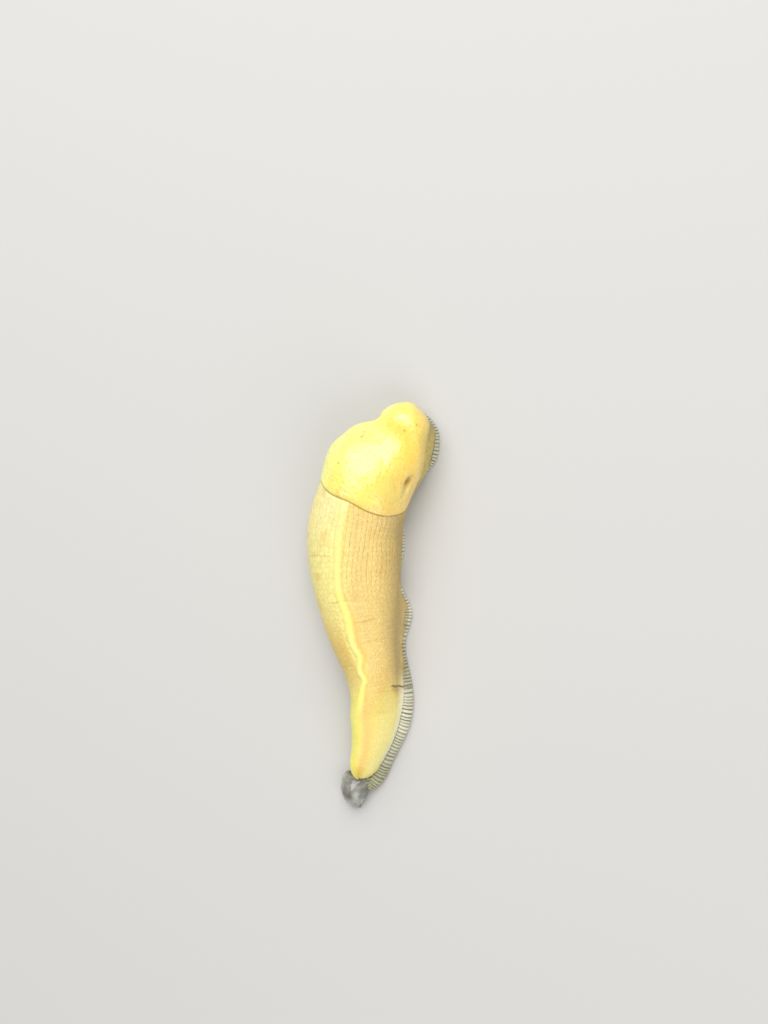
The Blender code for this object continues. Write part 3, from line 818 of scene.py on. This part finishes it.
# Painted highlight on the right flank just above the foot.
SKIRT_HIGHLIGHT_CREAM = (255, 252, 222)
# Painted shade in the deep crease at the base of the tail.
CREASE_SHADE_BROWN = (98, 66, 32)
# Of the foot.
CREAM = (240, 238, 212)
RIDGE_OLIVE = (200, 196, 152)
REAR_OLIVE = (150, 148, 100)
FRONT_OLIVE = (176, 178, 140)
MIDDLE_OLIVE = (160, 154, 118)
# Painted shade in the grooves of the fringe.
FRINGE_GROOVE_SHADE = (58, 58, 32)
# Painted shade in the furrow between the flank and the foot.
SEAM_SHADE_DARK = (72, 66, 36)
SOLE_CREAM = (214, 204, 160)
# Of the head.
# Olive for the neck: partly its own colour, partly painted shade beside the hood.
NECK_OLIVE_AND_SHADE = (210, 188, 100)
HEAD_TAN = (168, 146, 96)
HEAD_MOTTLE = (150, 128, 70)
# Painted shade in the borders between the head's tubercles.
HEAD_BORDER_SHADE = (136, 112, 58)
KNOB_PALE = (204, 184, 134)
# Painted shade in the hollow of the mouth.
MOUTH_SHADE_DARK = (70, 44, 32)

# The dark specks on the mantle: place and angle.
SPECKS = ((43.5, -37), (42.5, -33), (41.9, -33), (34.1, -30), (48.5, 17), (50.6, 38))


def undercoat(at, tint):
    """One screen colour at every point, for others to be laid over."""
    return np.tile(tone(*tint), (len(at.points), 1))


def paint(colour, *layers):
    """Lay screen colours over each point's colour, each with the share that it covers."""
    for tint, share in layers:
        colour = mix(colour, tone(*tint), np.clip(share, 0, 1)[:, None])
    return colour


def mantle_colour(at):
    """Lemon yellow, paler to the left as painted light, warmer to the right partly as painted
    shade, warmer at the edge, with painted shade in the valley, the pits, the pore and the front
    right flank, and a few dark specks.
    """
    side = at.angle * fade(0, 4, np.abs(lean_offset(at, at.height)))
    blotch = noise(at.points, 4.2, 81)
    speck, number = cells(at.place / 1.3, at.roll / 1.3, 82)
    dots = (number > 0.96) * fade(0.75, 0.95, speck)
    for place, angle in SPECKS:
        gap = np.hypot((at.place - place) * 0.8, np.radians(at.angle - angle) * at.size)
        dots = np.maximum(dots, bump(gap, 0, 0.26))
    return paint(
        undercoat(at, LEMON),
        # Warmer to the right: partly own tone, partly painted shade.
        (WARM_AND_SHADED_YELLOW, fade(10, 62, side)),
        (EDGE_YELLOW, 0.6 * fade(3.4, 0.2, at.inset)),
        # Painted shade in the valley.
        (VALLEY_SHADE_YELLOW, 0.8 * at.dip),
        # Paler to the left: painted light.
        (PAINTED_LIGHT_LEMON, 0.9 * fade(-4, -44, side)),
        (BRIGHT_BLOTCH, 0.4 * fade(0.0, 0.6, blotch)),
        (DULL_BLOTCH, 0.35 * fade(-0.1, -0.7, blotch)),
        # Painted shade in the pits.
        (PIT_SHADE_TAN, 0.24 * at.pit),
        # Painted shade on the front right flank.
        (FLANK_SHADE_OLIVE, front_right(at) * fade(3.2, 0.0, at.inset)),
        (SPECK_BROWN, 0.6 * dots),
        (LIP_PALE, 0.6 * at.pore_lip),
        # Painted shade in the pore's furrow and dimple.
        (FURROW_SHADE_BROWN, 0.7 * at.pore),
        (PORE_SHADE_BROWN, 0.85 * at.pore_heart),
    )


def trunk_colour(at):
    """Dull yellow, paler to the left and tan to the right, partly own tones and partly painted
    light and shade, with painted shade in the grooves and wrinkles, and painted highlights on the
    keel, the tail and the flank near the foot.
    """
    rear_left = bump(at.place, -16, 11) * fade(-2, -20, at.angle)
    # Where the painted highlight lies behind the mantle on the left.
    pale = fade(8, 26, at.place) * fade(14, -20, at.angle)
    tail = at.tail * fade(140, 100, np.abs(at.angle))
    patch = noise(at.points, 3.0, 91)
    colour = paint(
        undercoat(at, STRAW),
        # Honey and tan to the right: partly own tone, mostly painted shade.
        (HONEY_AND_SHADE, fade(-2, 22, at.angle)),
        (TAN_SHADE, fade(42, 96, at.angle)),
        (LEFT_OLIVE, fade(-70, -120, at.angle)),
        (REAR_OCHRE, 0.85 * rear_left),
        (PAINTED_LIGHT_STRAW, 0.55 * pale),
        (TAIL_YELLOW, tail),
        # Painted light on the tail's right side.
        (TAIL_LIGHT_PALE, tail * fade(28, 64, at.angle)),
        # Left half of the tail: own lemon and painted light.
        (TAIL_LEMON_AND_LIGHT, tail * fade(1.4, -1.4, at.arc)),
        (PATCH_OCHRE, mix(0.35, 0.2, at.tail) * fade(0.05, 0.7, patch)),
    )
    colour = colour * (1 + 0.12 * (at.number[:, None] - 0.5) * mix(1, 0.4, at.tail)[:, None])
    dash = flat_noise(at.arc / 1.1, at.place / 1.2, 1.0, 92)
    shine = flat_noise(at.place, 0, 3.0, 93)
    # The keel band: own paler yellow and a painted highlight, brighter and dimmer along the shine
    # noise.
    keel = at.keel * mix(0.4, 0.85, fade(8, -4, at.place)) * fade(26, 17, at.place)
    keel = keel * mix(0.45, 1.0, fade(-0.5, 0.5, shine))
    # Painted highlight on the right flank beside the foot.
    skirt_highlight = fade(7.0, 2.8, at.height) * fade(-52, -44, at.place) * at.right
    skirt_highlight = skirt_highlight * mix(0.05, 0.85, fade(-22, -31, at.place)) * fade(6, -2, at.place)
    return paint(
        colour,
        # Painted shade in the tubercle borders and the grooves.
        (BORDER_SHADE_BROWN, at.border * mix(0.24, 0.1, at.tail)),
        (GROOVE_SHADE_BROWN, at.line * mix(0.26, 0.56, fade(-0.3, 0.5, dash))),
        # Painted shade in the wrinkles.
        (WRINKLE_SHADE_BROWN, at.wrinkle),
        # Painted shade beside the keel.
        (KEEL_SHADE_OCHRE, mix(0.35, 0.6, fade(0, -10, at.place)) * at.keel_side),
        (SHADE_BROWN, 0.5 * at.shade),
        (KEEL_YELLOW_AND_HIGHLIGHT, keel * (1 - at.crease)),
        (SKIRT_HIGHLIGHT_CREAM, skirt_highlight),
    )


def foot_colour(at):
    """Cream ridges between grooves darkened with painted shade, olive towards the rear tip, and a
    plain sole.
    """
    colour = paint(
        undercoat(at, CREAM),
        (RIDGE_OLIVE, 0.4 * at.ridge),
        (REAR_OLIVE, 0.75 * fade(-34, -52, at.place)),
        (FRONT_OLIVE, 0.6 * fade(30, 44, at.place)),
        (MIDDLE_OLIVE, 0.75 * bump(at.place, -22, 9)),
        # Painted shade in the fringe's grooves.
        (FRINGE_GROOVE_SHADE, at.groove),
    )
    sole = fade(0.25, 0.0, at.height)
    mottle = noise(at.points, 1.6, 95)
    return mix(colour, tone(*SOLE_CREAM) * (1 + 0.05 * mottle[:, None]), sole[:, None])


def head_colour(at):
    """Olive tan on the neck and the head, partly painted shade on the neck beside the hood, with
    painted shade in the tubercle borders and in the mouth, paler on the tentacles.
    """
    mottle = noise(at.points, 1.1, 97)
    colour = paint(
        # Neck olive: own colour and painted shade.
        undercoat(at, NECK_OLIVE_AND_SHADE),
        (HEAD_TAN, fade(47.5, 52.5, at.place)),
        (HEAD_MOTTLE, 0.4 * fade(0, 0.8, mottle)),
        # Painted shade in the tubercle borders.
        (HEAD_BORDER_SHADE, 0.3 * at.border),
    )
    for knob, middle in tentacle_knobs():
        away = np.linalg.norm(at.points - middle, axis=1) / knob.radius
        colour = paint(colour, (KNOB_PALE, 0.8 * fade(1.5, 1.0, away)))
    mouth = on_spine(MOUTH.place, 0.0, MOUTH.height)
    away = np.linalg.norm((at.points - mouth) / (0.6, 1.2, 0.9), axis=1)
    # Painted shade in the mouth.
    return paint(colour, (MOUTH_SHADE_DARK, 0.8 * fade(1.2, 0.6, away)))


def skin_colour(at):
    """Colour of every point of the skin."""
    neck = at.trunk * fade(26, 38, at.place)
    colour = mix(trunk_colour(at), head_colour(at), neck[:, None])
    colour = mix(colour, foot_colour(at), at.foot[:, None])
    colour = paint(
        colour,
        # Painted shade in the furrow above the foot.
        (SEAM_SHADE_DARK, 0.7 * at.seam * (1 - 0.5 * at.covered)),
        # Painted shade in the crease.
        (CREASE_SHADE_BROWN, 0.7 * at.crease * (1 - at.mantle)),
    )
    colour = mix(colour, mantle_colour(at), at.mantle[:, None])
    flush = front_right(at)
    # Painted shade in the slit behind the mantle's edge.
    slit = bump(at.inset, 0.0, 0.26) * fade(0.75, 0.35, at.mantle) * (1 - flush)
    # A painted shadow line along the flush front right margin.
    margin = bump(at.inset, 0.0, 0.9) * flush * fade(40, 50, at.place)
    return paint(
        colour,
        (SLIT_SHADE_DARK, 0.8 * slit * fade(52, 48, at.place)),
        (MARGIN_SHADOW_BROWN, 0.2 * margin),
    )


def skin_roughness(at):
    """Glossy mantle and tail, duller trunk."""
    rough = mix(0.46, 0.36, at.tail)
    rough = mix(rough, 0.28 + 0.3 * at.dip, at.mantle)
    return mix(rough, 0.36, at.foot)


def skin_wetness(at):
    """How thick the clear film of slime lies: most on the mantle, least on the trunk."""
    wet = mix(0.15, 0.5, at.tail)
    dry = 0.9 * np.clip(at.pore_heart, 0, 1) + 0.95 * at.dip + 0.4 * at.pit
    wet = mix(wet, 1 - np.clip(dry, 0, 1), at.mantle)
    return mix(wet, 0.5, at.foot)


def bake_map(at, quads, normals):
    """A flat map of the skin: the back unrolled, the sole and the hidden front beside it."""
    x, y, z = at.points.T
    length = 125.0
    charts = np.array((
        (0.3 + at.arc / length, 0.5 + at.place / length),
        (0.8 + x / length, 0.5 + y / length),
        (0.8 + (x - 14) / length, 0.03 + z / length),
    ))
    up, height, place = (values[quads].mean(axis=1) for values in (normals[:, 2], z, at.place))
    is_sole = (up < -0.7) & (height < 0.4)
    is_front = (up < -0.15) & (height > 1.8) & (place > 48)
    chart = np.where(is_sole, 1, np.where(is_front, 2, 0))
    return charts[chart[:, None], :, quads]


def put_in(name, data):
    """An object in the scene for a mesh, a light or a camera."""
    thing = bpy.data.objects.new(name, data)
    bpy.context.scene.collection.objects.link(thing)
    return thing


def make_mesh(name, points, quads):
    """A smooth-shaded mesh object from points in millimetres."""
    mesh = bpy.data.meshes.new(name)
    mesh.vertices.add(len(points))
    mesh.vertices.foreach_set("co", (points * MM).astype(np.float32).ravel())
    mesh.loops.add(quads.size)
    mesh.loops.foreach_set("vertex_index", quads.astype(np.int32).ravel())
    mesh.polygons.add(len(quads))
    mesh.polygons.foreach_set("loop_start", np.arange(0, quads.size, 4, dtype=np.int32))
    mesh.update(calc_edges=True)
    mesh.shade_smooth()
    return put_in(name, mesh)


def store(mesh, name, kind, key, values):
    """Keep one value for each point on the mesh."""
    layer = mesh.attributes.new(name, kind, "POINT")
    layer.data.foreach_set(key, values.astype(np.float32).ravel())


def build_skin():
    """The one skin over all the flesh."""
    origin, volumes = fill_grid()
    points, quads, normals = surface_of(volumes[0], origin)
    at = read_skin(points, origin, volumes)
    points = points + normals * carve(at)[:, None]
    points[:, 2] = np.where(at.height < 0.12, 0.0, np.maximum(points[:, 2], 0))
    skin = make_mesh("slug_skin", points, quads)
    colour = np.concatenate((skin_colour(at), np.ones((len(points), 1))), axis=1)
    store(skin.data, "skin_colour", "FLOAT_COLOR", "color", colour)
    store(skin.data, "skin_roughness", "FLOAT", "value", skin_roughness(at))
    store(skin.data, "skin_wetness", "FLOAT", "value", skin_wetness(at))
    flat = skin.data.uv_layers.new(name="OFBake")
    flat.uv.foreach_set("vector", bake_map(at, quads, normals).astype(np.float32).ravel())
    skin.data.materials.append(skin_material())
    return skin


def set_inputs(node, values):
    """Give a shader node's unlinked inputs their values."""
    for key, value in values.items():
        node.inputs[key].default_value = value


def add_node(tree, kind, inputs=None, **settings):
    """Add a shader node, with its settings and its unlinked inputs."""
    node = tree.nodes.new(kind)
    for key, value in settings.items():
        setattr(node, key, value)
    set_inputs(node, inputs or {})
    return node


def new_material(name):
    """A material with an empty Principled shader."""
    surface = bpy.data.materials.new(name)
    surface.use_nodes = True
    return surface, surface.node_tree, surface.node_tree.nodes["Principled BSDF"]


def skin_material():
    """Moist skin: colour and gloss from the mesh, fine grain from noise."""
    surface, tree, shader = new_material("slug_skin")
    link = tree.links.new
    colour = add_node(tree, "ShaderNodeAttribute", attribute_name="skin_colour")
    rough = add_node(tree, "ShaderNodeAttribute", attribute_name="skin_roughness")
    spot = add_node(tree, "ShaderNodeTexCoord")
    fine = add_node(tree, "ShaderNodeTexNoise", {"Scale": 1600.0, "Detail": 4.0, "Roughness": 0.6})
    link(spot.outputs["Object"], fine.inputs["Vector"])
    shade = add_node(tree, "ShaderNodeMapRange",
                     {"From Min": 0.3, "From Max": 0.7, "To Min": 0.93, "To Max": 1.05})
    link(fine.outputs["Fac"], shade.inputs["Value"])
    tint = add_node(tree, "ShaderNodeMix", {0: 1.0}, data_type="RGBA", blend_type="MULTIPLY")
    link(colour.outputs["Color"], tint.inputs[6])
    link(shade.outputs["Result"], tint.inputs[7])
    link(tint.outputs[2], shader.inputs["Base Color"])
    gloss = add_node(tree, "ShaderNodeMath", {1: 0.16}, operation="MULTIPLY_ADD")
    link(fine.outputs["Fac"], gloss.inputs[0])
    link(rough.outputs["Fac"], gloss.inputs[2])
    link(gloss.outputs["Value"], shader.inputs["Roughness"])
    grain = add_node(tree, "ShaderNodeBump", {"Strength": 0.35, "Distance": 0.00006})
    link(fine.outputs["Fac"], grain.inputs["Height"])
    link(grain.outputs["Normal"], shader.inputs["Normal"])
    wet = add_node(tree, "ShaderNodeAttribute", attribute_name="skin_wetness")
    link(wet.outputs["Fac"], shader.inputs["Coat Weight"])
    set_inputs(shader, {
        "Subsurface Weight": 0.25, "Subsurface Radius": (1.0, 0.7, 0.25),
        "Subsurface Scale": 0.0012, "Coat Roughness": 0.3, "Coat IOR": 2.0,
    })
    return surface


SLIME_LUMPS = (
    # x, y, z, radius
    (-3.0, -57.4, 2.2, 3.6), (-4.4, -55.4, 2.3, 2.3), (-3.0, -59.6, 1.4, 2.4),
    (-1.1, -57.2, 1.6, 2.3), (-1.6, -54.9, 3.0, 1.9), (1.0, -55.9, 1.2, 1.4),
    (-5.0, -53.6, 1.6, 1.5), (-4.4, -52.4, 1.2, 1.0), (0.2, -54.6, 2.7, 1.2),
    (-1.9, -62.1, 0.3, 0.55),
)


def build_plug():
    """The lump of clear slime at the tip of the tail."""
    spot = np.stack(np.meshgrid(*grid_axes(SLIME_LOW, SLIME_HIGH), indexing="ij"), axis=-1)
    field = 9.0
    for *middle, radius in SLIME_LUMPS:
        field = smooth_least(field, np.linalg.norm(spot - middle, axis=-1) - radius, 1.5)
    field = field + 0.1 * noise(spot, 1.9, 101) + 0.03 * noise(spot, 0.8, 102)
    field = np.maximum(field, -spot[..., 2])
    points, quads, _ = surface_of(field, spot[0, 0, 0])
    points[:, 2] = np.maximum(points[:, 2], 0)
    plug = make_mesh("slime_lump", points, quads)
    plug.data.materials.append(slime_material())
    return plug


def add_cloud(tree, shader, inputs, low, high):
    """Noise that fades the colour between two (position, screen colour) stops."""
    spot = add_node(tree, "ShaderNodeTexCoord")
    cloud = add_node(tree, "ShaderNodeTexNoise", inputs)
    tree.links.new(spot.outputs["Object"], cloud.inputs["Vector"])
    ramp = add_node(tree, "ShaderNodeValToRGB")
    for stop, (position, tint) in zip(ramp.color_ramp.elements, (low, high)):
        stop.position = position
        stop.color = (*tone(*tint), 1)
    tree.links.new(cloud.outputs["Fac"], ramp.inputs["Fac"])
    tree.links.new(ramp.outputs["Color"], shader.inputs["Base Color"])
    return cloud


def slime_material():
    """Cloudy grey slime with a wet shine."""
    surface, tree, shader = new_material("slime")
    cloud = add_cloud(tree, shader, {"Scale": 240.0, "Detail": 3.0},
                      (0.35, (142, 140, 122)), (0.65, (226, 226, 218)))
    ripple = add_node(tree, "ShaderNodeBump", {"Strength": 0.3, "Distance": 0.0002})
    tree.links.new(cloud.outputs["Fac"], ripple.inputs["Height"])
    tree.links.new(ripple.outputs["Normal"], shader.inputs["Normal"])
    set_inputs(shader, {
        "Roughness": 0.2, "Transmission Weight": 0.6, "Subsurface Weight": 0.5,
        "Subsurface Scale": 0.002, "Coat Weight": 1.0, "Coat Roughness": 0.08,
    })
    return surface


EYE_RADIUS = 0.22
EYE_SUNK = 0.1  # how far its middle lies inside the knob's surface


def build_eye(side, turn):
    """The dark eye spot at the tip of an upper tentacle."""
    knob = UPPER_TENTACLE
    middle = on_spine(knob.place, turn * knob.sideways, knob.height)
    outward = on_spine(knob.place + 1, turn * (knob.sideways + 0.4), knob.height + 0.25) - middle
    outward = outward / np.linalg.norm(outward)
    middle = middle + outward * (knob.radius - EYE_SUNK)
    shape = bmesh.new()
    bmesh.ops.create_uvsphere(shape, u_segments=24, v_segments=12, radius=EYE_RADIUS * MM,
                              matrix=Matrix.Translation(Vector(middle * MM)))
    mesh = bpy.data.meshes.new(f"eye_{side}")
    shape.to_mesh(mesh)
    shape.free()
    mesh.shade_smooth()
    mesh.materials.append(eye_material())
    return put_in(mesh.name, mesh)


def eye_material():
    """Nearly black, with a wet shine."""
    surface, tree, shader = new_material("eye")
    add_cloud(tree, shader, {"Scale": 3000.0}, (0.0, (20, 17, 14)), (1.0, (44, 36, 28)))
    set_inputs(shader, {"Roughness": 0.15})
    return surface


IMAGE_SIZE = (768, 1024)
PIXELS_PER_MM = 3.4
ORIGIN_PIXEL = (366, 595)
CAMERA_TILT = math.radians(18)  # towards the animal's right
CAMERA_DISTANCE = 600.0


def add_camera():
    """The photograph's view: from nearly overhead, tilted a little to the animal's right."""
    right = np.array((math.cos(CAMERA_TILT), 0, -math.sin(CAMERA_TILT)))
    ahead = np.array((0.0, 1.0, 0.0))
    back = np.cross(right, ahead)
    off_x = (IMAGE_SIZE[0] / 2 - ORIGIN_PIXEL[0]) / PIXELS_PER_MM
    off_y = (ORIGIN_PIXEL[1] - IMAGE_SIZE[1] / 2) / PIXELS_PER_MM
    place = (right * off_x + ahead * off_y + back * CAMERA_DISTANCE) * MM
    lens = bpy.data.cameras.new("camera")
    lens.sensor_fit = "VERTICAL"
    lens.angle_y = 2 * math.atan(IMAGE_SIZE[1] / 2 / (PIXELS_PER_MM * CAMERA_DISTANCE))
    lens.clip_start = 0.01
    camera = put_in("camera", lens)
    turn = Matrix((right, ahead, back)).transposed()
    camera.matrix_world = Matrix.Translation(Vector(place)) @ turn.to_4x4()
    bpy.context.scene.camera = camera


# The studio, in metres and watts.
FLOOR_HALF = 3.0
FLOOR_DROP = 0.00002
FLOOR_COLOUR = (0.62, 0.61, 0.59, 1)
KEY_LIGHT = {"place": (-0.02, 0.6, 0.8), "size": 1.1, "power": 11.5}
FILL_LIGHT = {"place": (0.5, -0.7, 0.6), "size": 0.8, "power": 3.8}
LAMP_COLOUR = (1.0, 0.99, 0.97)
SKY_COLOUR = (0.95, 0.97, 1.0, 1)
SKY_STRENGTH = 0.4


def add_light(name, place, size, power):
    """A square soft light aimed at the middle of the animal."""
    lamp = bpy.data.lights.new(name, "AREA")
    lamp.shape = "SQUARE"
    lamp.size = size
    lamp.energy = power
    lamp.color = LAMP_COLOUR
    light = put_in(name, lamp)
    light.location = place
    light.rotation_euler = (-Vector(place)).to_track_quat("-Z", "Y").to_euler()


def add_studio():
    """Plain pale floor, a soft light above the head and a weaker one behind on the right."""
    mesh = bpy.data.meshes.new("floor")
    half = FLOOR_HALF
    mesh.from_pydata([(-half, -half, 0), (half, -half, 0), (half, half, 0), (-half, half, 0)], [],
                     [(0, 1, 2, 3)])
    floor = put_in("floor", mesh)
    floor.location.z = -FLOOR_DROP
    surface, _, shader = new_material("floor")
    set_inputs(shader, {"Base Color": FLOOR_COLOUR, "Roughness": 0.8})
    mesh.materials.append(surface)
    add_light("key", **KEY_LIGHT)
    add_light("fill", **FILL_LIGHT)
    world = bpy.data.worlds.new("studio")
    world.use_nodes = True
    sky = {"Color": SKY_COLOUR, "Strength": SKY_STRENGTH}
    set_inputs(world.node_tree.nodes["Background"], sky)
    bpy.context.scene.world = world
    bpy.context.scene.view_settings.view_transform = "Standard"


add_camera()
add_studio()

FLESH = [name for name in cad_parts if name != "mucus_plug"]
skin = build_skin()
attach(skin, "root")
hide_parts(*FLESH)

plug = build_plug()
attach(plug, "root")
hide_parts("mucus_plug")

for side, turn in (("left", -1), ("right", 1)):
    eye = build_eye(side, turn)
    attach(eye, "root")
